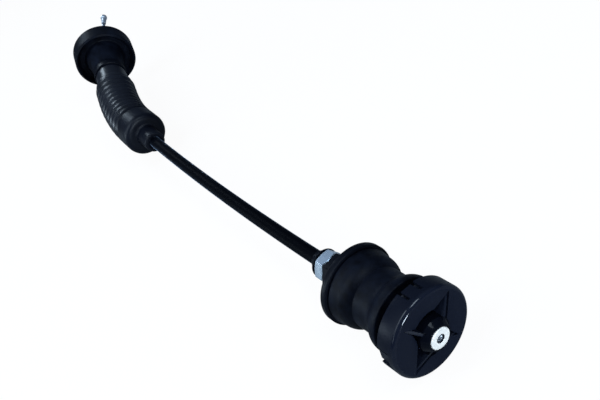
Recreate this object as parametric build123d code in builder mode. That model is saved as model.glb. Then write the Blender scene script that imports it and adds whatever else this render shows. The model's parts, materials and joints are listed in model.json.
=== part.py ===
"""Sheathed push-pull control cable: snap cap, damper bush and flange at one end,
bellows, bulkhead grommet and ball nipple at the other. Millimetres, +Z up.
X = 0 is the damper bush's bracket seat; the cap is at +X, the cable runs to -X.
The bends lie in one plane, which rises towards +Y as the part lies on a table."""
from build123d import *
import math
import os

os.makedirs("parts", exist_ok=True)

# ---- fits
running_gap = 0.05          # radial clearance of anything that slides or turns
seat_gap = 0.02             # radial clearance of pieces fixed to each other
soft_gap = 0.3              # radial clearance of rubber round a moving piece

# ---- cable section
core_d = 2.8
liner_wall = 0.35
armour_wall = 1.2
cover_d = 8.0

# ---- cable route, distances measured from X = 0 towards the far end
bend_tilt = 23.0            # rise of the plane of the bends from XY, as the cable lies on a table
straight_near = 50.5
sheath_arc = 232.6
sheath_turn = 4.39
boot_arc = 50.4
boot_turn = 18.55
bend_clear = 0.3            # from the guide bush to the free bend, with the core drawn in
free_arc = 35.5
free_turn = 17.32
straight_tip = 26.0

# ---- core travel
core_travel = 22.0
core_break = 0.3            # gap between core lengths at rest
core_stop_gap = 2.0         # left between the far and middle cores when drawn in
near_core_end = 20.0

# ---- damper bush
waist_r = 15.6
waist_length = 8.0
flare_run = 9.5             # length of the S-curve from the waist up to the lip
lip_r = 19.0
lip_land = 1.5
lip_round = 0.6
shoulder_r = 19.5
shoulder_length = 12.3
nose_length = 6.8           # rounded front of the shoulder, down to the waist
nose_r = 18.8
joint_groove = 0.9
joint_groove_r = 18.6
bush_sleeve_r = 8.0
sleeve_inset = 1.0          # sleeves end this far inside the lip's face
liner_inset = 1.5

# ---- flange and hex boss
flange_r = 20.9
flange_t = 3.3
boss_af = 16.5
boss_length = 15.1
gusset_count = 6
hex_turn = 58.0             # turn of the boss and nut about X
gusset_r = 17.5
gusset_length = 9.0
gusset_t = 2.0
gusset_root = 1.0           # how far a gusset is sunk in the boss
gusset_edge = 0.2           # and in the flange

# ---- lock nut, washer and threaded sleeve
thread_d = 10.0
thread_pitch = 1.0
nut_turns = 1.0             # turns that the nut has room to back off
washer_t = 1.0
washer_r = 7.3
nut_af = 15.0
nut_t = 6.0
nut_chamfer = 1.2
collar_r = 7.8
collar_tail_r = 4.9
collar_length = 5.3
collar_socket = 0.8            # depth of the threaded sleeve's seat in the collar's disc
collar_land = 1.2
collar_edge = 0.4

# ---- cap
cap_r = 22.3
cap_wall = 2.0
cap_rear_x = 24.7
cap_face_x = 34.7
cap_edge_round = 2.0
web_back_x = 26.0
recess_floor_x = 28.0
petal_t = 2.5
clocking = 35.0             # turn of the star about X
arm_tip_r = 20.0
arm_half_turn = 24.0        # a wide arm's half width where it meets the round side
star_r = 12.2               # round side of the star, between a wide arm and a slit
slit_tip_r = 18.6
slit_half_turn = 7.0
pad_r = 8.6                 # corner of the pad on a wide arm's other side
pad_turn = 50.0
hub_r = 6.4
hub_shoulder_r = 8.5
hub_base_r = 8.9
hub_x = 39.1
hub_slope = 2.9             # length of the hub's tapered nose
rib_t = 1.4
rib_drop = 1.0
rib_tip_gap = 1.6
tongue_offset = 44.5
tongue_w = 5.6
slot_w = 1.8
slot_length = 6.3
tongue_step = 0.9
slot_over = 0.8             # how far a slot is cut past both sides of the skirt
pocket_r = 2.9
pocket_pitch_r = 16.3

# ---- core nipple
nipple_r = 5.4
nipple_head = 3.0
nipple_x = 39.6
nipple_round = 0.5
well_r = 2.2                # mouth of the nipple's bore, round the rope's end
well_depth = 1.1
rope_sink = 0.5             # rope end below the nipple's face
shank_r = 3.4
shank_length = 6.5
thrust_t = 0.6
plate_t = 1.4
plate_gap = 0.7              # radial clearance of the plate inside the skirt
plate_bore = 4.0
wiper_r = 4.6
wiper_t = 2.4

# ---- bellows
tail_lead = 37.6            # from the tail's edge to the start of the boot's bend
tail_length = 16.0
tail_r = 7.5
boot_r = 15.9
boot_wall = 2.4
boot_round = 4.0
boot_tail = 15.6            # length of the boot past its bend
root_r = 14.9
ridge_lead = 1.0
ridge_pitch = 6.46
ridge_count = 10
ridge_w = 3.6
cuff_length = 15.0
cuff_r = 12.6
cuff_wall = 2.3
tail_bore = 5.6
seal_inset = 1.0

# ---- far fittings, lengths from the end of the boot's bend
conduit_tail = 13.0
liner_tail = 18.0
ferrule_lead = 2.5
ferrule_length = 17.3
ferrule_r = 6.2
guide_length = 13.7
guide_r = 6.6
guide_round = 1.0
spigot_lead = 18.5
ring_lead = 32.6
ring_w = 4.8
ring_r = 13.4
ring_round = 0.8
neck_r = 12.0
flare_lead = 42.0
flare_length = 10.0
flare_mid_r = 14.4
drum_lead = 57.5
drum_length = 15.7
drum_r = 25.6
drum_round = 1.2
drum_shoulder = 1.6
cup_depth = 6.8
cup_r = 22.4
cup_floor_r = 21.4
cup_web = 4.0
cup_bore_r = 8.0
cup_bore_round = 2.0
trough_in_r = 17.0
trough_out_r = 21.4

# ---- ball nipple
ball_r = 2.9
ball_neck_r = 1.9
ball_neck_root_r = 2.35
ball_neck_length = 8.0
ball_bore_depth = 1.0

# ---- derived
core_r = core_d / 2
liner_in = core_r + running_gap
liner_out = liner_in + liner_wall
armour_in = liner_out + seat_gap
armour_out = armour_in + armour_wall
cover_in = armour_out + seat_gap
cover_r = cover_d / 2
thread_r = thread_d / 2
flange_front = -(shoulder_length + joint_groove)
flange_back = flange_front - flange_t
boss_back = flange_back - boss_length
washer_back = boss_back - washer_t
nut_back = washer_back - nut_t
collar_front = nut_back - nut_turns * thread_pitch - 2 * running_gap
collar_back = collar_front - collar_length
conduit_start = -(collar_front - collar_socket)
lip_end = waist_length + flare_run + lip_land
sleeve_front = lip_end - sleeve_inset
nipple_back = nipple_x - nipple_head
shank_back = nipple_back - shank_length

bend_start = straight_near + sheath_arc
bend_end = bend_start + boot_arc
mid_core_end = bend_end - core_break
far_core_start = mid_core_end + core_travel + core_stop_gap
tail_start = bend_start - tail_lead
tail_end = tail_start + tail_length
boot_end = bend_end + boot_tail
ridge_first = bend_start + ridge_lead
cuff_end = boot_end + cuff_length
conduit_end = bend_end + conduit_tail
liner_end = bend_end + liner_tail
ferrule_start = bend_end + ferrule_lead
ferrule_end = ferrule_start + ferrule_length
guide_end = ferrule_end + guide_length
spigot_start = bend_end + spigot_lead
ring_start = bend_end + ring_lead
ring_end = ring_start + ring_w
flare_start = bend_end + flare_lead
flare_mid = flare_start + flare_length
drum_back = bend_end + drum_lead
drum_front = drum_back + drum_length
cup_floor = drum_front - cup_depth
trough_floor = cup_floor - cup_web
straight_far = guide_end - bend_end + core_travel + bend_clear

segments = [
    (straight_near, 0.0),
    (sheath_arc, sheath_turn),
    (boot_arc, boot_turn),
    (straight_far, 0.0),
    (free_arc, free_turn),
    (straight_tip, 0.0),
]
route_length = sum(length for length, turn in segments)


bend_plane = Plane.XY.rotated((bend_tilt, 0, 0))


def route_at(distance):
    """Point in the bend plane and turned angle (radians) at a distance along the route."""
    x, y, turned, left = 0.0, 0.0, 0.0, distance
    for length, turn in segments:
        step = left if distance < 0 else min(left, length)
        angle = math.radians(turn) * step / length
        if turn == 0.0:
            x -= step * math.cos(turned)
            y += step * math.sin(turned)
        else:
            radius = length / math.radians(turn)
            x -= radius * (math.sin(turned + angle) - math.sin(turned))
            y -= radius * (math.cos(turned + angle) - math.cos(turned))
        turned += angle
        left -= step
        if left <= 0:
            break
    return (x, y), turned


def point_at(distance):
    (x, y), turned = route_at(distance)
    return bend_plane.from_local_coords(Vector(x, y, 0))


def heading(distance):
    turned = route_at(distance)[1]
    return bend_plane.from_local_coords(Vector(-math.cos(turned), math.sin(turned), 0))


def section_plane(distance):
    """Plane across the route, its normal pointing to the far end."""
    return Plane(origin=point_at(distance), x_dir=bend_plane.z_dir, z_dir=heading(distance))


def profile_plane(distance):
    """Plane holding the route: local x along it, local y across it."""
    return Plane(origin=point_at(distance), x_dir=heading(distance), z_dir=bend_plane.z_dir)


def route_axis(distance):
    return Axis(point_at(distance), heading(distance))


def follow(start, end):
    """Add the route between two distances to the line being built in the bend plane."""
    begins = 0.0
    for length, turn in segments:
        first = start if begins == 0.0 else max(start, begins)
        last = min(end, begins + length)
        if last > first:
            a, b = route_at(first)[0], route_at(last)[0]
            if turn == 0.0:
                Line(a, b)
            else:
                ThreePointArc(a, route_at((first + last) / 2)[0], b)
        begins += length


def turned_profile(points):
    """Add the closed outline through these points to the sketch being built."""
    Polygon(*points, align=None)


# ---- conduit: cover, armour and liner, each along its own stretch of the route
with BuildPart() as conduit_cover:
    with BuildLine(bend_plane) as cover_line:
        follow(conduit_start, conduit_end)
    with BuildSketch(section_plane(conduit_start)):
        Circle(cover_r)
        Circle(cover_in, mode=Mode.SUBTRACT)
    sweep(path=cover_line.wires()[0])
conduit_cover.part.label = "conduit_cover"

with BuildPart() as conduit_armour:
    with BuildLine(bend_plane) as armour_line:
        follow(conduit_start, conduit_end)
    with BuildSketch(section_plane(conduit_start)):
        Circle(armour_out)
        Circle(armour_in, mode=Mode.SUBTRACT)
    sweep(path=armour_line.wires()[0])
conduit_armour.part.label = "conduit_armour"

liner_start = liner_inset - sleeve_front
with BuildPart() as conduit_liner:
    with BuildLine(bend_plane) as liner_line:
        follow(liner_start, liner_end)
    with BuildSketch(section_plane(liner_start)):
        Circle(liner_out)
        Circle(liner_in, mode=Mode.SUBTRACT)
    sweep(path=liner_line.wires()[0])
conduit_liner.part.label = "conduit_liner"

# ---- core in three lengths: the two ends slide, the middle fills the sheath
with BuildPart() as core_mid:
    with BuildLine(bend_plane) as mid_line:
        follow(near_core_end + core_break, mid_core_end)
    with BuildSketch(section_plane(near_core_end + core_break)):
        Circle(core_r)
    sweep(path=mid_line.wires()[0])
core_mid.part.label = "core_mid"

core_near_length = nipple_x - rope_sink + near_core_end
with BuildPart() as core_near:
    with BuildSketch(Plane.YZ.offset(-near_core_end)):
        Circle(core_r)
    extrude(amount=core_near_length)
core_near.part.label = "core_near"

far_core_end = route_length - ball_bore_depth
with BuildPart() as core_far:
    with BuildLine(bend_plane) as far_line:
        follow(far_core_start, far_core_end)
    with BuildSketch(section_plane(far_core_start)):
        Circle(core_r)
    sweep(path=far_line.wires()[0])
core_far.part.label = "core_far"

# ---- core nipple: round head seated in the cap's hub, shank crimped on the core
with BuildPart() as core_nipple:
    with BuildSketch(Plane.YZ.offset(nipple_back)):
        Circle(nipple_r)
    extrude(amount=nipple_head)
    fillet(core_nipple.edges().group_by(Axis.X)[-1], nipple_round)
    with BuildSketch(Plane.YZ.offset(shank_back)):
        Circle(shank_r)
    extrude(amount=shank_length)
    with BuildSketch(Plane.YZ.offset(shank_back)):
        Circle(core_r + seat_gap)
    extrude(amount=shank_length + nipple_head, mode=Mode.SUBTRACT)
    with BuildSketch(Plane.YZ.offset(nipple_x - well_depth)):
        Circle(well_r)
    extrude(amount=well_depth, mode=Mode.SUBTRACT)
core_nipple.part.label = "core_nipple"

with BuildPart() as thrust_washer:
    with BuildSketch(Plane.YZ.offset(nipple_back - thrust_t)):
        Circle(nipple_r - running_gap)
        Circle(shank_r + seat_gap, mode=Mode.SUBTRACT)
    extrude(amount=thrust_t)
thrust_washer.part.label = "thrust_washer"

# ---- snap cap: disc with star recess, proud hub, gusset ribs, skirt with tongues
quarter_turns = [clocking + 90.0 * i for i in range(4)]
tongue_angles = [angle + tongue_offset for angle in quarter_turns]


def polar(radius, degrees):
    return (radius * math.cos(math.radians(degrees)), radius * math.sin(math.radians(degrees)))


with BuildPart() as end_cap:
    with BuildSketch(Plane.YZ.offset(cap_rear_x)):
        Circle(cap_r)
    extrude(amount=cap_face_x - cap_rear_x)
    fillet(end_cap.edges().group_by(Axis.X)[-1], cap_edge_round)
    with BuildSketch(Plane.YZ.offset(cap_rear_x)):
        Circle(cap_r - cap_wall)
    extrude(amount=web_back_x - cap_rear_x, mode=Mode.SUBTRACT)
    with BuildSketch(Plane.YZ.offset(recess_floor_x)):
        with BuildLine():
            for angle in (clocking, clocking + 180):
                Line(polar(arm_tip_r, angle), polar(star_r, angle + arm_half_turn))
                CenterArc((0, 0), star_r, angle + arm_half_turn, 90 - slit_half_turn - arm_half_turn)
                Polyline(polar(star_r, angle + 90 - slit_half_turn), polar(slit_tip_r, angle + 90),
                         polar(star_r, angle + 90 + slit_half_turn),
                         polar(pad_r, angle + 180 - pad_turn), polar(arm_tip_r, angle + 180))
        make_face()
    extrude(amount=cap_face_x - recess_floor_x, mode=Mode.SUBTRACT)
    with BuildSketch(Plane.XY):
        turned_profile([(web_back_x, 0), (web_back_x, hub_base_r), (recess_floor_x, hub_base_r),
                        (hub_x - hub_slope, hub_shoulder_r), (hub_x, hub_r), (hub_x, 0)])
    revolve(axis=Axis.X)
    for i, angle in enumerate(quarter_turns):
        rib_end_r = (arm_tip_r if i % 2 == 0 else slit_tip_r) - rib_tip_gap
        with BuildSketch(Plane.XY.rotated((angle, 0, 0))):
            turned_profile([(web_back_x, hub_r), (hub_x - rib_drop, hub_r),
                            (cap_face_x - rib_drop, rib_end_r), (web_back_x, rib_end_r)])
        extrude(amount=rib_t / 2, both=True)
    with BuildSketch(Plane.YZ.offset(web_back_x)):
        for angle in tongue_angles:
            with Locations(polar(pocket_pitch_r, angle)):
                Circle(pocket_r)
    extrude(amount=cap_face_x - petal_t - web_back_x, mode=Mode.SUBTRACT)
    for angle in tongue_angles:
        side = Plane.XY.rotated((angle, 0, 0))
        for across in (-1, 1):
            with BuildSketch(side.offset(across * (tongue_w + slot_w) / 2)):
                with Locations((cap_rear_x + slot_length / 2, cap_r - cap_wall / 2)):
                    Rectangle(slot_length, cap_wall + 2 * slot_over)
            extrude(amount=slot_w / 2, both=True, mode=Mode.SUBTRACT)
        with BuildSketch(side):
            with Locations((cap_rear_x + slot_length / 2, cap_r + cap_wall / 2 - tongue_step)):
                Rectangle(slot_length, cap_wall)
        extrude(amount=(tongue_w + slot_w) / 2, both=True, mode=Mode.SUBTRACT)
    with BuildSketch(Plane.YZ.offset(nipple_back - thrust_t)):
        Circle(nipple_r + running_gap)
    extrude(amount=hub_x, mode=Mode.SUBTRACT)
    with BuildSketch(Plane.YZ.offset(web_back_x)):
        Circle(shank_r + running_gap)
    extrude(amount=hub_x, mode=Mode.SUBTRACT)
end_cap.part.label = "end_cap"

with BuildPart() as pressure_plate:
    with BuildSketch(Plane.YZ.offset(web_back_x - plate_t)):
        Circle(cap_r - cap_wall - plate_gap)
        Circle(plate_bore, mode=Mode.SUBTRACT)
    extrude(amount=plate_t)
pressure_plate.part.label = "pressure_plate"

# ---- damper bush: grooved shoulder with a rounded nose, waist for the bracket, flared lip
with BuildPart() as damper_bush:
    with BuildSketch(Plane.XY):
        with BuildLine():
            Polyline((lip_end, lip_r - lip_round), (lip_end, bush_sleeve_r + seat_gap),
                     (flange_front, bush_sleeve_r + seat_gap), (flange_front, joint_groove_r),
                     (flange_front + joint_groove, joint_groove_r),
                     (flange_front + joint_groove, shoulder_r), (-nose_length, nose_r))
            TangentArc((-nose_length, nose_r), (0, waist_r), tangent=(1, 0))
            Line((0, waist_r), (waist_length, waist_r))
            flare_middle = (waist_length + flare_run / 2, (waist_r + lip_r) / 2)
            flare_foot = TangentArc((waist_length, waist_r), flare_middle, tangent=(1, 0))
            TangentArc(flare_middle, (waist_length + flare_run, lip_r), tangent=flare_foot % 1)
            Line((waist_length + flare_run, lip_r), (lip_end - lip_round, lip_r))
            Line((lip_end - lip_round, lip_r), (lip_end, lip_r - lip_round))
        make_face()
    revolve(axis=Axis.X)
damper_bush.part.label = "damper_bush"

with BuildPart() as bush_sleeve:
    with BuildSketch(Plane.YZ.offset(flange_front)):
        Circle(bush_sleeve_r)
        Circle(thread_r + seat_gap, mode=Mode.SUBTRACT)
    extrude(amount=sleeve_front - flange_front)
bush_sleeve.part.label = "bush_sleeve"

with BuildPart() as wiper_seal:
    with BuildSketch(Plane.YZ.offset(sleeve_front)):
        Circle(wiper_r)
        Circle(core_r + soft_gap, mode=Mode.SUBTRACT)
    extrude(amount=wiper_t)
wiper_seal.part.label = "wiper_seal"

# ---- flange with hex boss and gussets
boss_r = boss_af / math.sqrt(3)
with BuildPart() as end_flange:
    with BuildSketch(Plane.YZ.offset(flange_back)):
        Circle(flange_r)
    extrude(amount=flange_t)
    with BuildSketch(Plane.YZ.offset(boss_back)):
        RegularPolygon(boss_r, 6, rotation=hex_turn)
    extrude(amount=boss_length)
    for i in range(gusset_count):
        blade = Plane.XY.rotated((hex_turn + 180 / gusset_count + 360 / gusset_count * i, 0, 0))
        with BuildSketch(blade):
            turned_profile([(flange_back + gusset_edge, boss_af / 2 - gusset_root),
                            (flange_back + gusset_edge, gusset_r), (flange_back, gusset_r),
                            (flange_back - gusset_length, boss_af / 2),
                            (flange_back - gusset_length, boss_af / 2 - gusset_root)])
        extrude(amount=gusset_t / 2, both=True)
    with BuildSketch(Plane.YZ.offset(boss_back)):
        Circle(thread_r + seat_gap)
    extrude(amount=boss_length + flange_t, mode=Mode.SUBTRACT)
end_flange.part.label = "end_flange"

# ---- threaded sleeve, washer, lock nut and crimp collar
sleeve_back = collar_front - collar_socket
with BuildPart() as threaded_sleeve:
    with BuildSketch(Plane.YZ.offset(sleeve_back)):
        Circle(thread_r)
        Circle(liner_out + seat_gap, mode=Mode.SUBTRACT)
    extrude(amount=sleeve_front - sleeve_back)
threaded_sleeve.part.label = "threaded_sleeve"

with BuildPart() as nut_washer:
    with BuildSketch(Plane.YZ.offset(washer_back)):
        Circle(washer_r)
        Circle(thread_r + running_gap, mode=Mode.SUBTRACT)
    extrude(amount=washer_t)
nut_washer.part.label = "nut_washer"

nut_corner = nut_af / math.sqrt(3)
with BuildPart() as lock_nut:
    with BuildSketch(Plane.YZ.offset(nut_back)):
        RegularPolygon(nut_corner, 6, rotation=hex_turn)
    extrude(amount=nut_t)
    with BuildSketch(Plane.XY):
        for end, inward in ((nut_back, nut_chamfer), (washer_back, -nut_chamfer)):
            turned_profile([(end, nut_af / 2), (end, nut_af), (end + inward, nut_af),
                            (end + inward / 2, nut_corner)])
    revolve(axis=Axis.X, mode=Mode.SUBTRACT)
    with BuildSketch(Plane.YZ.offset(nut_back)):
        Circle(thread_r + running_gap)
    extrude(amount=nut_t, mode=Mode.SUBTRACT)
lock_nut.part.label = "lock_nut"

with BuildPart() as conduit_collar:
    with BuildSketch(Plane.XY):
        turned_profile([(collar_back, cover_r + seat_gap), (collar_back, collar_tail_r),
                        (collar_front - collar_land, collar_tail_r),
                        (collar_front - collar_land, collar_r - collar_edge),
                        (collar_front - collar_land + collar_edge, collar_r),
                        (collar_front, collar_r),
                        (collar_front, thread_r + seat_gap), (sleeve_back, thread_r + seat_gap),
                        (sleeve_back, cover_r + seat_gap)])
    revolve(axis=Axis.X)
conduit_collar.part.label = "conduit_collar"

# ---- bellows: tail, smooth shoulder, ridges round the bend, cuff; hollow inside
with BuildPart() as bellows:
    with BuildLine(bend_plane) as root_line:
        follow(tail_end + boot_round, boot_end)
    with BuildSketch(section_plane(tail_end + boot_round)):
        Circle(root_r)
    sweep(path=root_line.wires()[0])
    with BuildLine(bend_plane) as shoulder_line:
        follow(tail_end, ridge_first - ridge_pitch / 2)
    with BuildSketch(section_plane(tail_end)):
        Circle(boot_r)
    sweep(path=shoulder_line.wires()[0])
    fillet(bellows.faces().sort_by_distance(section_plane(tail_end).origin)[0].edges(), boot_round)
    for i in range(ridge_count):
        with BuildSketch(section_plane(ridge_first + i * ridge_pitch - ridge_w / 2)):
            Circle(boot_r)
        extrude(amount=ridge_w)
    with BuildSketch(section_plane(boot_end)):
        Circle(cuff_r)
    extrude(amount=cuff_end - boot_end)
    with BuildLine(bend_plane) as tail_line:
        follow(tail_start, tail_end + boot_round)
    with BuildSketch(section_plane(tail_start)):
        Circle(tail_r)
    sweep(path=tail_line.wires()[0])
    with BuildLine(bend_plane) as hollow_line:
        follow(tail_end + boot_wall, boot_end - boot_wall)
    with BuildSketch(section_plane(tail_end + boot_wall)):
        Circle(root_r - boot_wall)
    sweep(path=hollow_line.wires()[0], mode=Mode.SUBTRACT)
    with BuildLine(bend_plane) as bore_line:
        follow(tail_start, tail_end + 2 * boot_wall)
    with BuildSketch(section_plane(tail_start)):
        Circle(tail_bore)
    sweep(path=bore_line.wires()[0], mode=Mode.SUBTRACT)
    with BuildSketch(section_plane(boot_end - 2 * boot_wall)):
        Circle(cuff_r - cuff_wall)
    extrude(amount=cuff_end - boot_end + 2 * boot_wall, mode=Mode.SUBTRACT)
bellows.part.label = "bellows"

with BuildPart() as tail_seal:
    with BuildLine(bend_plane) as seal_line:
        follow(tail_start + seal_inset, tail_end - seal_inset)
    with BuildSketch(section_plane(tail_start + seal_inset)):
        Circle(tail_bore - seat_gap)
        Circle(cover_r + seat_gap, mode=Mode.SUBTRACT)
    sweep(path=seal_line.wires()[0])
tail_seal.part.label = "tail_seal"

# ---- far ferrule, guide bush and retaining ring, all on the straight run past the boot's bend
far = profile_plane(bend_end)
far_axis = route_axis(bend_end)


def on_far(points):
    """Outline points given by distance along the route, moved to the far profile plane."""
    return [(distance - bend_end, radius) for distance, radius in points]


with BuildPart() as far_ferrule:
    with BuildSketch(far):
        turned_profile(on_far([
            (ferrule_start, cover_r + seat_gap), (ferrule_start, ferrule_r),
            (ferrule_end, ferrule_r), (ferrule_end, core_r + running_gap),
            (liner_end + seat_gap, core_r + running_gap),
            (liner_end + seat_gap, liner_out + seat_gap),
            (conduit_end + seat_gap, liner_out + seat_gap),
            (conduit_end + seat_gap, cover_r + seat_gap)]))
    revolve(axis=far_axis)
far_ferrule.part.label = "far_ferrule"

with BuildPart() as guide_bush:
    with BuildSketch(far):
        turned_profile(on_far([
            (ferrule_end, core_r + running_gap), (ferrule_end, guide_r),
            (guide_end - guide_round, guide_r), (guide_end, guide_r - guide_round),
            (guide_end, core_r + running_gap)]))
    revolve(axis=far_axis)
guide_bush.part.label = "guide_bush"

with BuildPart() as retaining_ring:
    with BuildSketch(far):
        turned_profile(on_far([
            (ring_start, neck_r + seat_gap), (ring_start, ring_r - ring_round),
            (ring_start + ring_round, ring_r), (ring_end - ring_round, ring_r),
            (ring_end, ring_r - ring_round), (ring_end, neck_r + seat_gap)]))
    revolve(axis=far_axis)
retaining_ring.part.label = "retaining_ring"

# ---- bulkhead grommet: spigot, neck, flare, drum with a trough behind and an open cup in front
spigot_r = cuff_r - cuff_wall - seat_gap
with BuildPart() as bulkhead_grommet:
    with BuildSketch(far):
        turned_profile(on_far([
            (spigot_start, guide_r + seat_gap), (spigot_start, spigot_r), (cuff_end, spigot_r),
            (cuff_end, neck_r), (flare_start, neck_r), (flare_mid, flare_mid_r),
            (trough_floor, trough_in_r), (trough_floor, trough_out_r),
            (drum_back + drum_round / 2, drum_r - drum_round - drum_shoulder / 2),
            (drum_back, drum_r - drum_shoulder), (drum_back + drum_round, drum_r),
            (drum_front, drum_r), (drum_front, cup_r), (cup_floor, cup_floor_r),
            (cup_floor, cup_bore_r + cup_bore_round), (cup_floor - cup_bore_round, cup_bore_r),
            (guide_end, cup_bore_r), (guide_end, guide_r + seat_gap)]))
    revolve(axis=far_axis)
bulkhead_grommet.part.label = "bulkhead_grommet"

# ---- ball nipple on the free end of the core
neck_meet = math.sqrt(ball_r ** 2 - ball_neck_root_r ** 2)
with BuildPart() as ball_nipple:
    with BuildSketch(profile_plane(route_length)):
        with BuildLine():
            Polyline((-ball_bore_depth, 0), (-ball_bore_depth, core_r + seat_gap),
                     (-ball_neck_length, core_r + seat_gap), (-ball_neck_length, ball_neck_r),
                     (-neck_meet, ball_neck_root_r))
            ThreePointArc((-neck_meet, ball_neck_root_r), (0, ball_r), (ball_r, 0))
            Line((ball_r, 0), (-ball_bore_depth, 0))
        make_face()
    revolve(axis=route_axis(route_length))
ball_nipple.part.label = "ball_nipple"

# ---- export, and a check of the swept lengths
nodes = [conduit_cover, conduit_armour, conduit_liner, core_mid, core_near, core_far, core_nipple,
         thrust_washer, end_cap, pressure_plate, damper_bush, bush_sleeve, wiper_seal, end_flange,
         threaded_sleeve, nut_washer, lock_nut, conduit_collar, bellows, tail_seal, far_ferrule,
         guide_bush, retaining_ring, bulkhead_grommet, ball_nipple]
for node in nodes:
    export_step(node.part, f"parts/{node.part.label}.step")

for length, turn in segments:
    if turn:
        print(f"arc: length {length} mm, turn {turn} deg, radius {length / math.radians(turn):.1f} mm")
swept = [
    (core_mid, mid_core_end - near_core_end - core_break, math.pi * core_r ** 2),
    (core_far, far_core_end - far_core_start, math.pi * core_r ** 2),
    (conduit_cover, conduit_end - conduit_start, math.pi * (cover_r ** 2 - cover_in ** 2)),
]
for node, length, area in swept:
    print(f"{node.part.label}: length {length:.1f} mm, volume {node.part.volume:.2f}, "
          f"section x length {area * length:.2f}")
for distance in (bend_end, far_core_start, route_length):
    spot, way = point_at(distance), heading(distance)
    print(f"route {distance:.1f}: at {spot.X:.4f} {spot.Y:.4f} {spot.Z:.4f} heading {way.X:.5f} {way.Y:.5f} {way.Z:.5f}")
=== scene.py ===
import json
import math

import bmesh
import bpy
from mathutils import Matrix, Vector


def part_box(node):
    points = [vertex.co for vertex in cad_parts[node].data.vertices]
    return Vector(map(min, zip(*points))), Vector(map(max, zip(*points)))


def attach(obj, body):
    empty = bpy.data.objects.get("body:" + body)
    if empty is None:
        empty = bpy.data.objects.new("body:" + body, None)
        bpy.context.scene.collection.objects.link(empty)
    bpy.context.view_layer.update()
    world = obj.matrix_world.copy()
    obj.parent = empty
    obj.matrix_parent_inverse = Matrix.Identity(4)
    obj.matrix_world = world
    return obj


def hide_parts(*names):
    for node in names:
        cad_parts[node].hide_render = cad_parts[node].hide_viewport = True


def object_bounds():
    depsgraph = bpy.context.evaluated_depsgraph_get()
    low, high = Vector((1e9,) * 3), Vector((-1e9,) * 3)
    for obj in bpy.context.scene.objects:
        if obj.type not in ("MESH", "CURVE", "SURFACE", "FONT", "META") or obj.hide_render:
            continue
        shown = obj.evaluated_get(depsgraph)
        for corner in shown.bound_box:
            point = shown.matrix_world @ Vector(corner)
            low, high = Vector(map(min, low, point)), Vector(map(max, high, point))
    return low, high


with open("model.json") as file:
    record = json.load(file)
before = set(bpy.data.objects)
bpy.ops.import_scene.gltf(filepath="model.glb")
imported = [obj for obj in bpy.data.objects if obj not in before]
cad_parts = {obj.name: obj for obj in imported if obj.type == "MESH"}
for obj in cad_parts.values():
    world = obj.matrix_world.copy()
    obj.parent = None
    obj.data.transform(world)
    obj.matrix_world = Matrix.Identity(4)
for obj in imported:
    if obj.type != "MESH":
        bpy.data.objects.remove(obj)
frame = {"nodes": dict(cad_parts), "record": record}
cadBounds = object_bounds()
nodes = frame["nodes"]
record = frame["record"]
slotOf = {made["node"]: made["material_slot"] for made in record["subparts"]}
bodyOf = {name: body for body, members in record["behaviour"]["bodies"].items() for name in members}
millimetre = 0.001
print("frame loaded:", len(nodes), "nodes")


def newObject(name, data):
    made = bpy.data.objects.new(name, data)
    bpy.context.collection.objects.link(made)
    return made


# camera

cameraSet = {"place": (0.20334, -0.07025, 0.24588), "turnDeg": (46.125, 25.451, 49.872),
             "lens": 42.0, "sensor": 36.0, "near": 0.01}


def makeCamera():
    data = bpy.data.cameras.new("viewCamera")
    data.lens, data.sensor_width, data.clip_start = (cameraSet[key] for key in ("lens", "sensor", "near"))
    camera = newObject("viewCamera", data)
    camera.location = cameraSet["place"]
    camera.rotation_euler = [math.radians(turn) for turn in cameraSet["turnDeg"]]
    bpy.context.scene.camera = camera
    bpy.context.scene.view_settings.view_transform = "Standard"


makeCamera()
print("camera placed")

# node trees, with sockets that take Python's operators


class Number:
    def __init__(self, tree, socket):
        self.tree, self.socket = tree, socket

    def maths(self, operation, first, second=0.0):
        node = self.tree.add("ShaderNodeMath", {"operation": operation}, {0: first, 1: second})
        return Number(self.tree, node.outputs[0])

    def __add__(self, other):
        return self.maths("ADD", self, other)

    def __radd__(self, other):
        return self.maths("ADD", other, self)

    def __sub__(self, other):
        return self.maths("SUBTRACT", self, other)

    def __rsub__(self, other):
        return self.maths("SUBTRACT", other, self)

    def __mul__(self, other):
        return self.maths("MULTIPLY", self, other)

    def __rmul__(self, other):
        return self.maths("MULTIPLY", other, self)

    def __truediv__(self, other):
        return self.maths("DIVIDE", self, other)

    def __rtruediv__(self, other):
        return self.maths("DIVIDE", other, self)

    def __pow__(self, other):
        return self.maths("POWER", self, other)

    def __rpow__(self, other):
        return self.maths("POWER", other, self)

    def above(self, edge):
        return self.maths("GREATER_THAN", self, edge)

    def below(self, edge):
        return self.maths("LESS_THAN", self, edge)

    def largest(self, other):
        return self.maths("MAXIMUM", self, other)

    def sine(self):
        return self.maths("SINE", self)

    def cosine(self):
        return self.maths("COSINE", self)

    def clamped(self):
        node = self.tree.add("ShaderNodeClamp", {}, {0: self})
        return Number(self.tree, node.outputs[0])


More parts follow.
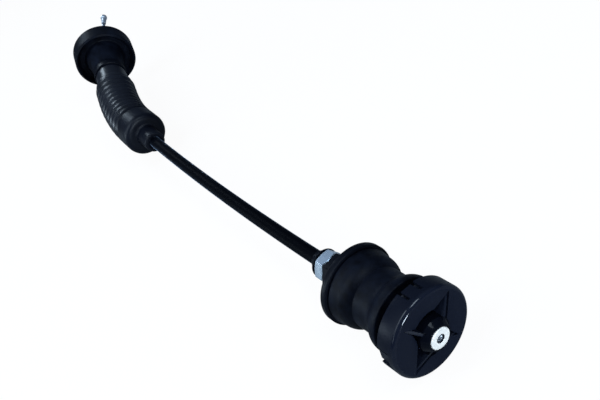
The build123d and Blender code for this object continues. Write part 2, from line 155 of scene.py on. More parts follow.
class Tree:
    def __init__(self, nodeTree):
        self.nodes, self.links = nodeTree.nodes, nodeTree.links
        self.nodes.clear()

    def add(self, kind, settings, sockets):
        node = self.nodes.new(kind)
        for key, value in settings.items():
            setattr(node, key, value)
        for key, value in sockets.items():
            if isinstance(value, Number):
                self.links.new(value.socket, node.inputs[key])
            elif isinstance(value, bpy.types.NodeSocket):
                self.links.new(value, node.inputs[key])
            else:
                node.inputs[key].default_value = value
        return node

    def number(self, kind, settings, sockets, output=0):
        return Number(self, self.add(kind, settings, sockets).outputs[output])

    def apart(self, vector):
        node = self.add("ShaderNodeSeparateXYZ", {}, {0: vector})
        return [Number(self, output) for output in node.outputs]

    def vector(self, operation, first, second):
        return self.add("ShaderNodeVectorMath", {"operation": operation}, {0: first, 1: second}).outputs[0]

    def scaled(self, vector, share):
        node = self.add("ShaderNodeVectorMath", {"operation": "SCALE"}, {0: vector, "Scale": share})
        return node.outputs[0]

    def place(self):
        return self.add("ShaderNodeTexCoord", {}, {}).outputs["Object"]

    def noise(self, where, scale, detail, rough):
        return self.number("ShaderNodeTexNoise", {},
                           {"Vector": where, "Scale": scale, "Detail": detail, "Roughness": rough})

    def blend(self, share, first, second):
        node = self.add("ShaderNodeMix", {"data_type": "RGBA"}, {0: share, 6: first, 7: second})
        return node.outputs[2]

    def bumped(self, strength, deep, height):
        node = self.add("ShaderNodeBump", {}, {"Strength": strength, "Distance": deep, "Height": height})
        return node.outputs[0]

    def finish(self, sockets):
        shader = self.add("ShaderNodeBsdfPrincipled", {}, sockets)
        self.add("ShaderNodeOutputMaterial", {}, {"Surface": shader.outputs[0]})


def newMaterial(name):
    material = bpy.data.materials.new(name)
    material.use_nodes = True
    return material, Tree(material.node_tree)


def paint(red, green, blue):
    return (red, green, blue, 1.0)


# world, lamps and floor

worldSet = {"low": (0.026, 0.036, 0.062), "high": (0.20, 0.27, 0.38), "white": (1.0, 1.0, 1.0)}


def cameraRays(tree):  # 1 for the rays that show the background
    return Number(tree, tree.add("ShaderNodeLightPath", {}, {}).outputs["Is Camera Ray"])


def makeWorld():
    world = bpy.data.worlds.new("studio")
    world.use_nodes = True
    bpy.context.scene.world = world
    tree = Tree(world.node_tree)
    height = tree.apart(tree.place())[2]
    sky = tree.blend(height.clamped(), paint(*worldSet["low"]), paint(*worldSet["high"]))
    shown = tree.blend(cameraRays(tree), sky, paint(*worldSet["white"]))
    background = tree.add("ShaderNodeBackground", {}, {"Color": shown, "Strength": 1.0})
    tree.add("ShaderNodeOutputWorld", {}, {"Surface": background.outputs[0]})


lampSet = {
    "sideLamp": {"way": (-0.18, -0.55, 0.80), "size": (0.22, 0.9), "watts": 5.2},
    "rimLamp": {"way": (0.10, -0.62, 0.70), "size": (0.04, 1.3), "watts": 2.1},
    "topLamp": {"way": (0.55, 0.22, 0.80), "size": (0.3, 0.3), "watts": 3.5},
    "lowLamp": {"way": (-0.62, -0.75, 0.22), "size": (0.25, 0.2), "watts": 2.2},
    "faceLamp": {"way": (0.985, -0.10, 0.08), "size": (0.15, 0.15), "watts": 7.0},
    "bootLamp": {"way": (-0.877, 0.018, 0.48), "size": (0.13, 0.13), "watts": 1.0},
}
lampPlace = {"aim": (-0.10, 0.01, 0.0), "far": 0.9, "tint": (0.71, 0.86, 1.0)}


def makeLamps():
    for name, made in lampSet.items():
        data = bpy.data.lights.new(name, "AREA")
        data.shape, data.energy, data.color = "RECTANGLE", made["watts"], lampPlace["tint"]
        data.size, data.size_y = made["size"]
        lamp = newObject(name, data)
        way = Vector(made["way"]).normalized()
        lamp.location = Vector(lampPlace["aim"]) + way * lampPlace["far"]
        lamp.rotation_euler = way.to_track_quat("Z", "Y").to_euler()


floorSet = {"half": 4.0, "drop": 0.0005,  # half its side, and how far it lies under the part
            "shadow": 0.06, "seen": 0.95, "paint": 0.25}  # shadow's share, and the paint as seen and as lit


def makeFloor():
    half, height = floorSet["half"], cadBounds[0][2] - floorSet["drop"]
    mesh = bpy.data.meshes.new("floor")
    corners = [(x * half, y * half, height) for x, y in ((-1, -1), (1, -1), (1, 1), (-1, 1))]
    mesh.from_pydata(corners, [], [(0, 1, 2, 3)])
    floor = newObject("floor", mesh)
    material, tree = newMaterial("floorPaint")
    shown = tree.blend(cameraRays(tree), paint(*[floorSet["paint"]] * 3), paint(*[floorSet["seen"]] * 3))
    matt = tree.add("ShaderNodeBsdfDiffuse", {}, {"Color": shown})
    glow = tree.add("ShaderNodeEmission", {}, {"Color": paint(1, 1, 1), "Strength": 1.0})
    share = cameraRays(tree) * (1 - floorSet["shadow"])
    mixed = tree.add("ShaderNodeMixShader", {}, {0: share, 1: matt.outputs[0], 2: glow.outputs[0]})
    tree.add("ShaderNodeOutputMaterial", {}, {"Surface": mixed.outputs[0]})
    mesh.materials.append(material)


makeWorld()
makeLamps()
makeFloor()
print("world, lamps and floor made")

# finishes: a noise is given as scale, detail and roughness, or without a scale that each look sets

rubberMarks = {"cloud": (4.0, 0.6), "blotRatio": 3.7, "blot": (2.0, 0.5), "grain": (1500.0, 2.0, 0.6),
               "cloudShare": 2.4, "blotShare": 1.1, "bloom": 0.42, "roughShare": 0.2, "cloudRelief": 0.5,
               "relief": 0.0003}


def rubberFinish(name, look):  # moulded rubber: cloudy bloom, fine grain
    material, tree = newMaterial(name)
    where, marks = tree.place(), rubberMarks
    cloud = tree.noise(where, look["cloudScale"], *marks["cloud"])
    blot = tree.noise(where, look["cloudScale"] * marks["blotRatio"], *marks["blot"])
    grain = tree.noise(where, *marks["grain"])
    bloom = (cloud - 0.5) * marks["cloudShare"] + marks["bloom"] + (blot - 0.5) * marks["blotShare"]
    base = tree.blend(bloom.clamped(), paint(*look["deep"]), paint(*look["worn"]))
    rough = (look["rough"] + (cloud - 0.5) * marks["roughShare"]).clamped()
    relief = tree.bumped(look["grain"], marks["relief"], grain + cloud * marks["cloudRelief"])
    sockets = {"Base Color": base, "Roughness": rough, "Specular IOR Level": look["gloss"], "Normal": relief}
    if "coat" in look:  # the ribs come shiny from the mould, the shoulder before them does not
        plain, shiny = look["ribsFrom"]
        share = ((tree.apart(where)[0] - plain) * (1 / (shiny - plain))).clamped()
        sockets.update({"Coat Weight": share * look["coat"], "Coat Roughness": look["coatRough"]})
    tree.finish(sockets)
    return material


plasticMarks = {"cloud": (60.0, 3.0, 0.5), "grain": (1100.0, 3.0, 0.6), "scuff": (240.0, 5.0, 0.75),
                "scuffFrom": 0.62, "scuffGain": 2.5, "scuffPale": 0.3, "scuffRough": 0.2, "grainRough": 0.12,
                # hubPaintedShade: how far the hub is painted towards black, as painted shade
                "hubPaintedShade": 0.6, "relief": 0.0002, "sheenRough": 0.20, "sheenTint": (0.55, 0.72, 1.0)}


def plasticFinish(name, look):  # moulded nylon: faint flow marks, scuffs
    material, tree = newMaterial(name)
    where, marks = tree.place(), plasticMarks
    cloud = tree.noise(where, *marks["cloud"])
    grain = tree.noise(where, *marks["grain"])
    scuff = (tree.noise(where, *marks["scuff"]) - marks["scuffFrom"]).clamped() * marks["scuffGain"]
    share = (cloud + scuff * marks["scuffPale"]).clamped()
    base = tree.blend(share, paint(*look["deep"]), paint(*look["worn"]))
    uneven = (grain - 0.5) * marks["grainRough"] + scuff * marks["scuffRough"]
    rough = look["rough"] + uneven * look.get("wear", 1.0)
    sockets = {"Normal": tree.bumped(look["grain"], marks["relief"], grain)}
    if "sheen" in look:  # a dusty skin, pale where it is seen edge on
        sockets.update({"Sheen Weight": look["sheen"], "Sheen Roughness": marks["sheenRough"],
                        "Sheen Tint": paint(*marks["sheenTint"])})
    if "rim" in look:  # a corner about X, from a place along it and a radius, and a hub, both polished; the hub is also darkened, as painted shade
        rimFrom, rimRadius = look["rim"]
        along, across, height = tree.apart(where)
        spread = across * across + height * height
        corner = spread.above(rimRadius ** 2) * along.above(rimFrom)
        hub = spread.below(look["hub"] ** 2)
        rough = rough - rough * corner.largest(hub) * look["polish"]
        # painted shade: the hub's colour is pulled towards black
        base = tree.blend(hub * marks["hubPaintedShade"], base, paint(0, 0, 0))
        sockets.update({"Coat Weight": corner * look["coat"], "Coat Roughness": look["coatRough"]})
    sockets.update({"Base Color": base, "Roughness": rough.clamped(), "Specular IOR Level": look["gloss"]})
    tree.finish(sockets)
    return material


metalMarks = {"cloudScale": 220.0, "cloud": (4.0, 0.6), "spread": 1.6, "brushed": (1200.0, 3.0, 0.6),
              "brushRough": 0.1, "relief": 0.0002}


def metalFinish(name, look):  # plated or cast metal: soft clouds, brushed or grainy
    material, tree = newMaterial(name)
    where, marks = tree.place(), metalMarks
    stretched = tree.add("ShaderNodeMapping", {}, {"Vector": where, "Scale": look["streak"]}).outputs[0]
    cloud = tree.noise(where, look.get("cloudScale", marks["cloudScale"]), *marks["cloud"])
    brushed = tree.noise(stretched, *marks["brushed"])
    share = ((cloud - 0.5) * look.get("spread", marks["spread"]) + 0.5).clamped()
    base = tree.blend(share, paint(*look["bright"]), paint(*look["dull"]))
    if "well" in look:  # the mouth of a bore about X, painted dark as painted shade
        across, height = tree.apart(where)[1:]
        mouth = (across * across + height * height).below(look["well"] ** 2)
        # painted shade: the bore's mouth takes the dark shade colour
        base = tree.blend(mouth, base, paint(*look["shade"]))
    metal = look.get("metal", 1.0)
    if "far" in look:  # the far fitting is the greyer of the two
        away = tree.apart(where)[0].below(look["farFrom"])
        base = tree.blend(away, base, paint(*look["far"]))
        metal = away * (1 - metal) + metal
    rough = (look["rough"] + (brushed - 0.5) * marks["brushRough"]).clamped()
    tree.finish({"Base Color": base, "Metallic": metal, "Roughness": rough,
                 "Normal": tree.bumped(look["grain"], marks["relief"], brushed)})
    return material


rubberLooks = {
    "rubber": {"deep": (0.0009, 0.0012, 0.0029), "worn": (0.0046, 0.0065, 0.0130), "rough": 0.48,
               "gloss": 0.07, "grain": 0.12, "cloudScale": 60.0},
    "bellows_rubber": {"deep": (0.0012, 0.0017, 0.0040), "worn": (0.0034, 0.0048, 0.0096), "rough": 0.40,
                       "gloss": 0.14, "grain": 0.04, "cloudScale": 45.0,
                       "coat": 0.36, "coatRough": 0.30, "ribsFrom": (-0.281, -0.289)},
}
plasticLooks = {
    "cap_plastic": {"deep": (0.0030, 0.0041, 0.0088), "worn": (0.0056, 0.0072, 0.0136), "rough": 0.36,
                    "gloss": 0.06, "grain": 0.02, "rim": (0.0330, 0.0206), "hub": 0.009, "polish": 0.66,
                    "coat": 0.3, "coatRough": 0.10},
    "flange_plastic": {"deep": (0.0008, 0.0012, 0.0030), "worn": (0.0025, 0.0035, 0.0070), "rough": 0.40,
                       "gloss": 0.08, "grain": 0.10},
    "cover_plastic": {"deep": (0.0003, 0.0005, 0.0012), "worn": (0.0008, 0.0012, 0.0028), "rough": 0.50,
                      "gloss": 0.02, "grain": 0.0, "wear": 0.1, "sheen": 0.7},
    "liner_plastic": {"deep": (0.70, 0.70, 0.67), "worn": (0.8, 0.8, 0.78), "rough": 0.4, "gloss": 0.5,
                      "grain": 0.05},
    "plate_steel": {"deep": (0.008, 0.008, 0.011), "worn": (0.02, 0.02, 0.025), "rough": 0.4, "gloss": 0.3,
                    "grain": 0.1},
}
metalLooks = {
    "armour_steel": {"bright": (0.50, 0.51, 0.53), "dull": (0.40, 0.41, 0.43), "rough": 0.35,
                     "streak": (1, 1, 1), "grain": 0.1},
    "zinc_steel": {"bright": (0.76, 0.86, 0.95), "dull": (0.58, 0.67, 0.76), "rough": 0.26,
                   "streak": (0.15, 1, 1), "grain": 0.03, "metal": 0.85},
    "sleeve_steel": {"bright": (0.55, 0.58, 0.62), "dull": (0.42, 0.45, 0.49), "rough": 0.30,
                     "streak": (1, 1, 1), "grain": 0.08},
    "wire_rope": {"bright": (0.80, 0.84, 0.88), "dull": (0.12, 0.15, 0.19), "rough": 0.30,
                  "streak": (1, 1, 1), "grain": 0.05, "cloudScale": 1100.0, "spread": 5.0},
    "cast_zinc": {"bright": (0.85, 0.78, 0.71), "dull": (0.72, 0.68, 0.63), "rough": 0.45,
                  "streak": (1, 1, 1), "grain": 0.06, "metal": 0.2, "well": 0.00225,
                  # shade: the colour of the painted shade in the bore's mouth
                  "shade": (0.03, 0.035, 0.045), "far": (0.63, 0.67, 0.72), "farFrom": -0.2},
}
finishes = {slot: rubberFinish(slot, look) for slot, look in rubberLooks.items()}
finishes.update({slot: plasticFinish(slot, look) for slot, look in plasticLooks.items()})
finishes.update({slot: metalFinish(slot, look) for slot, look in metalLooks.items()})
for name, node in nodes.items():
    node.data.materials.clear()
    node.data.materials.append(finishes[slotOf[name]])
print("finishes made:", len(finishes))

# the cable's route: straight runs and arcs from the bush's seat to the ball

route = {"tiltDeg": 23.0,  # rise of the plane of the bends
         "spans": [(0.0505, 0.0), (0.2326, 4.39), (0.0504, 18.55), (0.0558, 0.0), (0.0355, 17.32),
                   (0.0260, 0.0)]}  # length in metres, turn in degrees
bendEnd = sum(length for length, turn in route["spans"][:3])
routeEnd = sum(length for length, turn in route["spans"])
routeTilt = math.radians(route["tiltDeg"])
routeUp = Vector((0, -math.sin(routeTilt), math.cos(routeTilt)))
routeSide = Vector((0, math.cos(routeTilt), math.sin(routeTilt)))


def routeAt(distance):  # the point there and the way the cable heads
    along, across, heading, left = 0.0, 0.0, 0.0, distance
    for length, turn in route["spans"]:
        step = min(left, length) if distance > 0 else left
        angle = math.radians(turn) * step / length
        if turn == 0:
            along += step * math.cos(heading)
            across += step * math.sin(heading)
        else:
            radius = length / math.radians(turn)
            along += radius * (math.sin(heading + angle) - math.sin(heading))
            across += radius * (math.cos(heading) - math.cos(heading + angle))
        heading += angle
        left -= step
        if left <= 0:
            break
    spot = Vector((-along, 0, 0)) + routeSide * across
    return spot, Vector((-math.cos(heading), 0, 0)) + routeSide * math.sin(heading)


# meshes


def standIn(name, mesh, node):  # a piece that rides with the node, and takes its place
    piece = newObject(name, mesh)
    mesh.materials.clear()
    mesh.materials.append(finishes[slotOf[node]])
    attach(piece, bodyOf[node])
    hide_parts(node)


def plainMesh(seed, name):  # the seed's finished shape as a plain mesh, and the seed goes
    shape = bpy.data.meshes.new_from_object(seed.evaluated_get(bpy.context.evaluated_depsgraph_get()))
    bpy.data.objects.remove(seed)
    shape.name = name
    return shape


def smoothed(mesh, sharpDeg):  # edges that turn by more stay sharp
    mesh.shade_smooth()
    mesh.set_sharp_from_angle(angle=math.radians(sharpDeg))


def outward(mesh):
    work = bmesh.new()
    work.from_mesh(mesh)
    bmesh.ops.recalc_face_normals(work, faces=work.faces)
    if work.calc_volume(signed=True) < 0:
        bmesh.ops.reverse_faces(work, faces=work.faces)
    work.to_mesh(mesh)
    work.free()


def metres(outline):
    return [tuple(value * millimetre for value in corner) for corner in outline]


def allCorners(portions):  # an outline's named portions in one list
    return [corner for portion in portions.values() for corner in portion]


def bow(start, end, steps):  # an arc that leaves the start level, along the axis
    run, rise = end[0] - start[0], end[1] - start[1]
    turn = 2 * math.atan(rise / run)
    radius = run / math.sin(turn)
    turns = [turn * i / steps for i in range(steps + 1)]
    return [(start[0] + radius * math.sin(part), start[1] + radius * (1 - math.cos(part))) for part in turns]


edgeShare = 0.49  # the most of an edge that the round of one corner may take


def filleted(outline, steps=5):  # (along, radius) or (along, radius, round) corners of a closed outline
    points = []
    for i, corner in enumerate(outline):
        here = Vector(corner[:2])
        if len(corner) == 2:
            points.append(tuple(here))
            continue
        before, after = Vector(outline[i - 1][:2]) - here, Vector(outline[(i + 1) % len(outline)][:2]) - here
        half = before.angle(after) / 2
        reach = min(corner[2] / math.tan(half), before.length * edgeShare, after.length * edgeShare)
        middle = here + (before.normalized() + after.normalized()).normalized() * reach / math.cos(half)
        first, last = here + before.normalized() * reach - middle, here + after.normalized() * reach - middle
        turn = first.angle_signed(last)
        for step in range(steps + 1):
            angle = -turn * step / steps
            spoke = Vector((first.x * math.cos(angle) - first.y * math.sin(angle),
                            first.x * math.sin(angle) + first.y * math.cos(angle)))
            points.append(tuple(middle + spoke))
    return points


def dense(points, step):  # long edges of a closed outline cut into short ones
    cut = []
    for i, point in enumerate(points):
        here, there = Vector(point), Vector(points[(i + 1) % len(points)])
        count = max(1, round((there - here).length / step))
        cut += [tuple(here.lerp(there, k / count)) for k in range(count)]
    return cut


def ringMesh(name, corners, sides):  # rings of corners, each joined to the next and the last to the first
    rings, faces = len(corners) // sides, []
    for i in range(rings):
        here, there = i * sides, (i + 1) % rings * sides
        for k in range(sides):
            after = (k + 1) % sides
            faces.append((here + k, here + after, there + after, there + k))
    mesh = bpy.data.meshes.new(name)
    mesh.from_pydata(corners, [], faces)
    return mesh


def turned(name, points, sides, spot=(0, 0, 0), way=(1, 0, 0)):  # a closed outline turned about an axis
    way = Vector(way).normalized()
    across = way.cross(routeUp)
    turns = [2 * math.pi * k / sides for k in range(sides)]
    spokes = [routeUp * math.cos(turn) + across * math.sin(turn) for turn in turns]
    corners = [Vector(spot) + way * along + spoke * radius for along, radius in points for spoke in spokes]
    mesh = ringMesh(name, corners, sides)
    outward(mesh)
    return mesh


# geometry node trees


def newGraph(name, inputs):
    group = bpy.data.node_groups.new(name, "GeometryNodeTree")
    group.interface.new_socket("Geometry", in_out="INPUT", socket_type="NodeSocketGeometry")
    for title, kind in inputs.items():
        group.interface.new_socket(title, in_out="INPUT", socket_type="NodeSocket" + kind)
    group.interface.new_socket("Geometry", in_out="OUTPUT", socket_type="NodeSocketGeometry")
    tree = Tree(group)
    entry = tree.nodes.new("NodeGroupInput")
    sizes = {title: entry.outputs[title] for title in inputs}
    for title, kind in inputs.items():
        if kind == "Float":
            sizes[title] = Number(tree, entry.outputs[title])
    return group, tree, entry.outputs["Geometry"], sizes


def closeGraph(tree, geometry, material):
    real = tree.add("GeometryNodeRealizeInstances", {}, {0: geometry})
    painted = tree.add("GeometryNodeSetMaterial", {}, {"Geometry": real.outputs[0], "Material": material})
    leave = tree.nodes.new("NodeGroupOutput")
    tree.links.new(painted.outputs[0], leave.inputs[0])


def grown(name, mesh, group, values):  # the mesh that the tree makes, as a plain mesh
    seed = newObject(name + "Seed", mesh)
    modifier = seed.modifiers.new("grow", "NODES")
    modifier.node_group = group
    for item in group.interface.items_tree:
        if item.in_out == "INPUT" and item.name in values:
            modifier[item.identifier] = values[item.name]
    return plainMesh(seed, name)


def wayLine(name, start, end, step=0.001):  # the route between two distances, as a chain of edges
    count = max(2, round((end - start) / step))
    spots = [routeAt(start + (end - start) * i / count)[0] for i in range(count + 1)]
    mesh = bpy.data.meshes.new(name)
    mesh.from_pydata(spots, [(i, i + 1) for i in range(count)], [])
    return mesh


# wire rope: a middle wire and two rings of wires laid round the route

ropeSet = {"wire": 0.56, "lay": 17.0,  # a wire's width and the length of one turn, in millimetres
           "rings": ((1, 0.0), (6, 1.0), (12, 1.94)),  # count of wires, and the ring's radius in widths
           "plump": 0.52,  # a wire's radius in widths, a little over a half, so that no gap shows
           "farStart": 23.7, "ballGap": 1.0,  # after the bend and before the route's end, in millimetres
           "sides": 8, "sharpDeg": 50.0}


def makeRopeGraph():
    group, tree, seed, sizes = newGraph("ropeGraph", {"wireCount": "Int", "ringRadius": "Float",
                                                      "wireRadius": "Float", "lay": "Float",
                                                      "steel": "Material"})
    curve = tree.add("GeometryNodeMeshToCurve", {}, {0: seed}).outputs[0]
    copies = tree.add("GeometryNodeDuplicateElements", {"domain": "SPLINE"},
                      {"Geometry": curve, "Amount": sizes["wireCount"]})
    length = tree.number("GeometryNodeSplineParameter", {}, {}, 1)
    share = Number(tree, copies.outputs[1]) / sizes["wireCount"]
    angle = (share + length / sizes["lay"]) * (2 * math.pi)
    normal = tree.add("GeometryNodeInputNormal", {}, {}).outputs[0]
    tangent = tree.add("GeometryNodeInputTangent", {}, {}).outputs[0]
    across = tree.vector("CROSS_PRODUCT", tangent, normal)
    offset = tree.vector("ADD", tree.scaled(normal, angle.cosine() * sizes["ringRadius"]),
                         tree.scaled(across, angle.sine() * sizes["ringRadius"]))
    laid = tree.add("GeometryNodeSetPosition", {}, {"Geometry": copies.outputs[0], "Offset": offset})
    ring = tree.add("GeometryNodeCurvePrimitiveCircle", {}, {"Resolution": ropeSet["sides"],
                                                            "Radius": sizes["wireRadius"]})
    wires = tree.add("GeometryNodeCurveToMesh", {}, {"Curve": laid.outputs[0],
                                                     "Profile Curve": ring.outputs[0], "Fill Caps": True})
    closeGraph(tree, wires.outputs[0], sizes["steel"])
    return group


ropeGraph = makeRopeGraph()


def makeRope(node, start, end):
    work = bmesh.new()
    wire = ropeSet["wire"] * millimetre
    for count, ringRadius in ropeSet["rings"]:
        values = {"wireCount": count, "ringRadius": wire * ringRadius, "wireRadius": wire * ropeSet["plump"],
                  "lay": ropeSet["lay"] * millimetre, "steel": finishes[slotOf[node]]}
        work.from_mesh(grown(node, wayLine(node, start, end), ropeGraph, values))
    mesh = bpy.data.meshes.new(node)
    work.to_mesh(mesh)
    work.free()
    outward(mesh)
    smoothed(mesh, ropeSet["sharpDeg"])
    standIn(node + "Strands", mesh, node)


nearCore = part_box("core_near")
makeRope("core_near", -nearCore[1][0], -nearCore[0][0])
makeRope("core_far", bendEnd + ropeSet["farStart"] * millimetre, routeEnd - ropeSet["ballGap"] * millimetre)
print("wire rope laid")

# turned pieces: corners in millimetres as (along, radius) or (along, radius, round)

bushSet = {"groove": (-13.2, 18.6), "shoulder": (-12.3, 19.5, 0.8), "nose": (-6.8, 18.8),
           "waist": (15.6, 0.0, 8.0),  # radius, start and end
           "lip": (17.5, 19.0, 0.7), "end": 19.0, "bore": 8.02,
           "mouth": (0.4, 0.3, 0.4),  # the bore's bevel: length, height and round
           "noseSteps": 16, "lipSteps": 10, "step": 1.2, "sides": 128, "sharpDeg": 35.0}


def makeBush():
    waist, waistStart, waistEnd = bushSet["waist"]
    lipStart, lip, lipRound = bushSet["lip"]
    middle = ((waistEnd + lipStart) / 2, (waist + lip) / 2)
    rising = bow((waistEnd, waist), middle, bushSet["lipSteps"])
    falling = [(2 * middle[0] - along, 2 * middle[1] - radius) for along, radius in reversed(rising)]
    start, groove = bushSet["groove"]
    bore, end = bushSet["bore"], bushSet["end"]
    mouth, height, mouthRound = bushSet["mouth"]
    outline = [(start, groove), (bushSet["shoulder"][0], groove), bushSet["shoulder"]]
    outline += bow(bushSet["nose"], (waistStart, waist), bushSet["noseSteps"]) + rising + falling[1:]
    outline += [(end, lip, lipRound), (end, bore + height, mouthRound), (end - mouth, bore), (start, bore)]
    points = dense(filleted(metres(outline)), bushSet["step"] * millimetre)
    mesh = turned("damperBush", points, bushSet["sides"])
    smoothed(mesh, bushSet["sharpDeg"])
    standIn("damperBush", mesh, "damper_bush")


wiperSet = {"outer": 4.6, "bore": 1.72, "proud": 0.35, "lip": 1.4, "edge": 0.5,  # lip and edge over the bore
            "rounds": (0.3, 0.2, 0.15),  # of the rim, the lip's root and its edge
            "steps": 3, "sides": 64, "sharpDeg": 35.0}


def makeWiper():
    back, front = (corner[0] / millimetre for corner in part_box("wiper_seal"))
    outer, bore = wiperSet["outer"], wiperSet["bore"]
    face = front - wiperSet["proud"]
    rimRound, rootRound, edgeRound = wiperSet["rounds"]
    outline = [(back, bore), (back, outer, rimRound), (face, outer, rimRound),
               (face, bore + wiperSet["lip"], rootRound), (front, bore + wiperSet["edge"], edgeRound),
               (face, bore)]
    mesh = turned("wiperSeal", filleted(metres(outline), wiperSet["steps"]), wiperSet["sides"])
    smoothed(mesh, wiperSet["sharpDeg"])
    standIn("wiperSeal", mesh, "wiper_seal")


nippleSet = {
    "outline": {"shank": [(30.1, 1.42), (30.1, 3.4, 0.2), (36.6, 3.4)],
                "head": [(36.6, 5.4, 0.3), (39.6, 5.4, 0.5)],
                "well": [(39.6, 2.2, 0.25), (38.5, 2.2, 0.2), (38.5, 1.42)]},
    "steps": 6, "sides": 96, "sharpDeg": 40.0}


def makeNipple():
    points = filleted(metres(allCorners(nippleSet["outline"])), nippleSet["steps"])
    mesh = turned("corePill", points, nippleSet["sides"])
    smoothed(mesh, nippleSet["sharpDeg"])
    standIn("corePill", mesh, "core_nipple")


makeBush()
makeWiper()
makeNipple()
print("bush, wiper and nipple turned")

# the grommet and its ring, turned about the far axis, which starts where the bend ends

straightPart = 0.030  # this far past the bend the cable still runs straight
farSpot, farWay = routeAt(bendEnd + straightPart)
farSpot = farSpot - farWay * straightPart
grommetSet = {
    "outline": {"spigot": [(18.5, 6.64), (18.5, 10.28, 0.4), (30.6, 10.28)],
                "skirt": [(30.6, 12.0, 0.3), (42.0, 12.0, 4.0), (52.0, 14.4, 8.0), (62.4, 17.0, 1.2)],
                "back": [(62.4, 21.4, 1.2), (57.8, 23.6, 0.3), (57.5, 24.1, 0.4), (58.7, 25.6, 1.0)],
                "drum": [(73.2, 25.6, 0.8), (73.2, 22.4, 0.6)],
                "cup": [(66.4, 21.4, 1.0), (66.4, 10.0, 1.4)],
                "bore": [(64.4, 8.0, 0.4), (33.5, 8.0), (33.5, 6.64)]},
    "step": 1.5, "sides": 128, "sharpDeg": 40.0}
ringSet = {
    "outline": {"back": [(32.6, 12.02), (32.6, 13.4, 0.9)], "front": [(37.4, 13.4, 0.9), (37.4, 12.02)]},
    "step": 1.5, "sides": 128, "sharpDeg": 40.0}


def makeFarPiece(name, node, look):
    points = dense(filleted(metres(allCorners(look["outline"]))), look["step"] * millimetre)
    mesh = turned(name, points, look["sides"], farSpot, farWay)
    smoothed(mesh, look["sharpDeg"])
    standIn(name, mesh, node)


makeFarPiece("grommet", "bulkhead_grommet", grommetSet)
makeFarPiece("clampRing", "retaining_ring", ringSet)
print("grommet and ring turned")

# the boot, its seal and the conduit: straight tubes, bent along the route by a geometry tree

bootSet = {"tail": (245.5, 261.5, 7.5), "tailBore": 5.6,  # start and end along the route, and radius
           "boot": (349.1, 15.9, 14.9),  # end, and radius over and between the ridges
           "cuff": (364.1, 12.6, 10.3),  # end, radius and bore
           "ridges": (284.1, 6.46, 10),  # first one, pitch and count
           "wall": 2.4, "inWall": 13.5,  # its thickness, and a radius inside it past which ridges rise
           "slope": 1.6, "rounds": (0.8, 1.2, 4.0, 1.5, 0.6, 1.8, 0.8, 0.6),  # of the outside corners
           "sides": 96, "step": 0.6}
tailSealSet = {"inset": 1.0, "bore": 4.02, "gap": 0.02, "round": 0.3, "sides": 64, "step": 2.0}
conduitSet = {"start": 40.5, "end": 346.5, "inner": 3.04, "outer": 4.0, "sides": 64, "step": 3.0}
bendSet = {"lineStart": 30.0, "lineEnd": 375.0, "lineStep": 0.5, "sharpDeg": 40.0}


def makeBendGraph():
    group, tree, tube, sizes = newGraph("bendGraph", {"line": "Object", "lineStart": "Float",
                                                      "firstRidge": "Float", "pitch": "Float",
                                                      "lastRidge": "Float", "height": "Float",
                                                      "innerRadius": "Float", "rubber": "Material"})
    info = tree.add("GeometryNodeObjectInfo", {}, {"Object": sizes["line"]})
    curve = tree.add("GeometryNodeMeshToCurve", {}, {0: info.outputs["Geometry"]}).outputs[0]
    where = tree.add("GeometryNodeInputPosition", {}, {}).outputs[0]
    along, up, side = tree.apart(where)
    radius = (up * up + side * side) ** 0.5
    wave = ((along - sizes["firstRidge"]) / sizes["pitch"] * (2 * math.pi)).cosine() * 0.5 + 0.5
    near = along.above(sizes["firstRidge"] - sizes["pitch"] * 0.5)
    until = along.below(sizes["lastRidge"] + sizes["pitch"] * 0.5)
    lift = wave * sizes["height"] * near * until * radius.above(sizes["innerRadius"])
    grow = (radius + lift) / radius
    sample = tree.add("GeometryNodeSampleCurve", {"mode": "LENGTH", "use_all_curves": True},
                      {"Curves": curve, "Length": along - sizes["lineStart"]})
    rise = tuple(routeUp)
    across = tree.vector("CROSS_PRODUCT", sample.outputs["Tangent"], rise)
    offset = tree.vector("ADD", tree.scaled(rise, up * grow), tree.scaled(across, side * grow))
    place = tree.vector("ADD", sample.outputs["Position"], offset)
    bent = tree.add("GeometryNodeSetPosition", {}, {"Geometry": tube, "Position": place})
    closeGraph(tree, bent.outputs[0], sizes["rubber"])
    return group


def straightTube(name, outline, sides, step):  # along X, with the route's up as Y
    turns = [2 * math.pi * k / sides for k in range(sides)]
    corners = [(along, radius * math.cos(turn), radius * math.sin(turn))
               for along, radius in dense(outline, step) for turn in turns]
    return ringMesh(name, corners, sides)


bendGraph = makeBendGraph()
bendLineEnds = [bendSet[key] * millimetre for key in ("lineStart", "lineEnd")]
bendLine = newObject("bendLine", wayLine("bendLine", *bendLineEnds, bendSet["lineStep"] * millimetre))


def bentPiece(name, node, outline, look):
    first, pitch, count = bootSet["ridges"]
    boot, root = bootSet["boot"][1:]
    values = {"line": bendLine, "lineStart": bendLineEnds[0], "firstRidge": first * millimetre,
              "pitch": pitch * millimetre, "lastRidge": (first + (count - 1) * pitch) * millimetre,
              "height": (boot - root) * millimetre, "innerRadius": bootSet["inWall"] * millimetre,
              "rubber": finishes[slotOf[node]]}
    tube = straightTube(name + "Tube", filleted(metres(outline)), look["sides"], look["step"] * millimetre)
    mesh = grown(name, tube, bendGraph, values)
    outward(mesh)
    smoothed(mesh, bendSet["sharpDeg"])
    standIn(name, mesh, node)


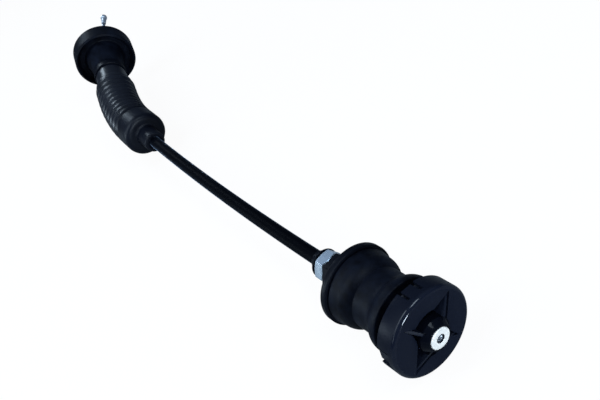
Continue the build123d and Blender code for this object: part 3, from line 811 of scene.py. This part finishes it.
def makeBoot():
    tailStart, tailEnd, tail = bootSet["tail"]
    bootEnd, boot, root = bootSet["boot"]
    cuffEnd, cuff, cuffBore = bootSet["cuff"]
    wall, bore = bootSet["wall"], bootSet["tailBore"]
    first, pitch = bootSet["ridges"][:2]
    shoulderEnd = first - pitch / 2
    outside = [(tailStart, tail), (tailEnd, tail), (tailEnd, boot), (shoulderEnd - bootSet["slope"], boot),
               (shoulderEnd, root), (bootEnd, root), (bootEnd, cuff), (cuffEnd, cuff)]
    inside = [(cuffEnd, cuffBore), (bootEnd - wall, cuffBore), (bootEnd - wall, root - wall),
              (tailEnd + wall, root - wall), (tailEnd + wall, bore)]
    rounded = [(*corner, rounding) for corner, rounding in zip(outside, bootSet["rounds"])]
    bentPiece("boot", "bellows", [(tailStart, bore)] + rounded + inside, bootSet)


def makeTailSeal():
    start, end = bootSet["tail"][0] + tailSealSet["inset"], bootSet["tail"][1] - tailSealSet["inset"]
    outer, inner = bootSet["tailBore"] - tailSealSet["gap"], tailSealSet["bore"]
    outline = [(start, inner), (start, outer, tailSealSet["round"]), (end, outer), (end, inner)]
    bentPiece("bootSeal", "tail_seal", outline, tailSealSet)


def makeConduit():
    start, end, inner, outer = (conduitSet[key] for key in ("start", "end", "inner", "outer"))
    outline = [(start, inner), (start, outer), (end, outer), (end, inner)]
    bentPiece("conduit", "conduit_cover", outline, conduitSet)


makeBoot()
makeTailSeal()
makeConduit()
bpy.data.objects.remove(bendLine)
print("boot and conduit bent")

# beveled copies of the moulded and machined pieces: name and width of the bevel in millimetres

bevels = {"end_cap": ("snapCap", 0.35), "end_flange": ("flange", 0.35), "lock_nut": ("hexNut", 0.12),
          "conduit_collar": ("crimpCollar", 0.15), "nut_washer": ("flatWasher", 0.12),
          "ball_nipple": ("ballEnd", 0.08), "guide_bush": ("guideBush", 0.2)}
bevelSet = {"mergeGap": 0.000002, "flatDeg": 0.5, "segments": 3, "edgeDeg": 32.0, "sharpDeg": 30.0}


def merged(name, node):  # a copy of the node's mesh, with its loose triangles joined into flat faces
    mesh = nodes[node].data.copy()
    mesh.transform(nodes[node].matrix_world)
    mesh.name = name
    work = bmesh.new()
    work.from_mesh(mesh)
    bmesh.ops.remove_doubles(work, verts=work.verts, dist=bevelSet["mergeGap"])
    bmesh.ops.dissolve_limit(work, angle_limit=math.radians(bevelSet["flatDeg"]), verts=work.verts,
                             edges=work.edges)
    work.to_mesh(mesh)
    work.free()
    return mesh


def makeBeveled():
    for node, (name, width) in bevels.items():
        seed = newObject(name + "Seed", merged(name, node))
        bevel = seed.modifiers.new("bevel", "BEVEL")
        bevel.width, bevel.segments, bevel.limit_method = width * millimetre, bevelSet["segments"], "ANGLE"
        bevel.angle_limit = math.radians(bevelSet["edgeDeg"])
        shape = plainMesh(seed, name)
        outward(shape)
        smoothed(shape, bevelSet["sharpDeg"])
        standIn(name, shape, node)


makeBeveled()
print("beveled pieces made")
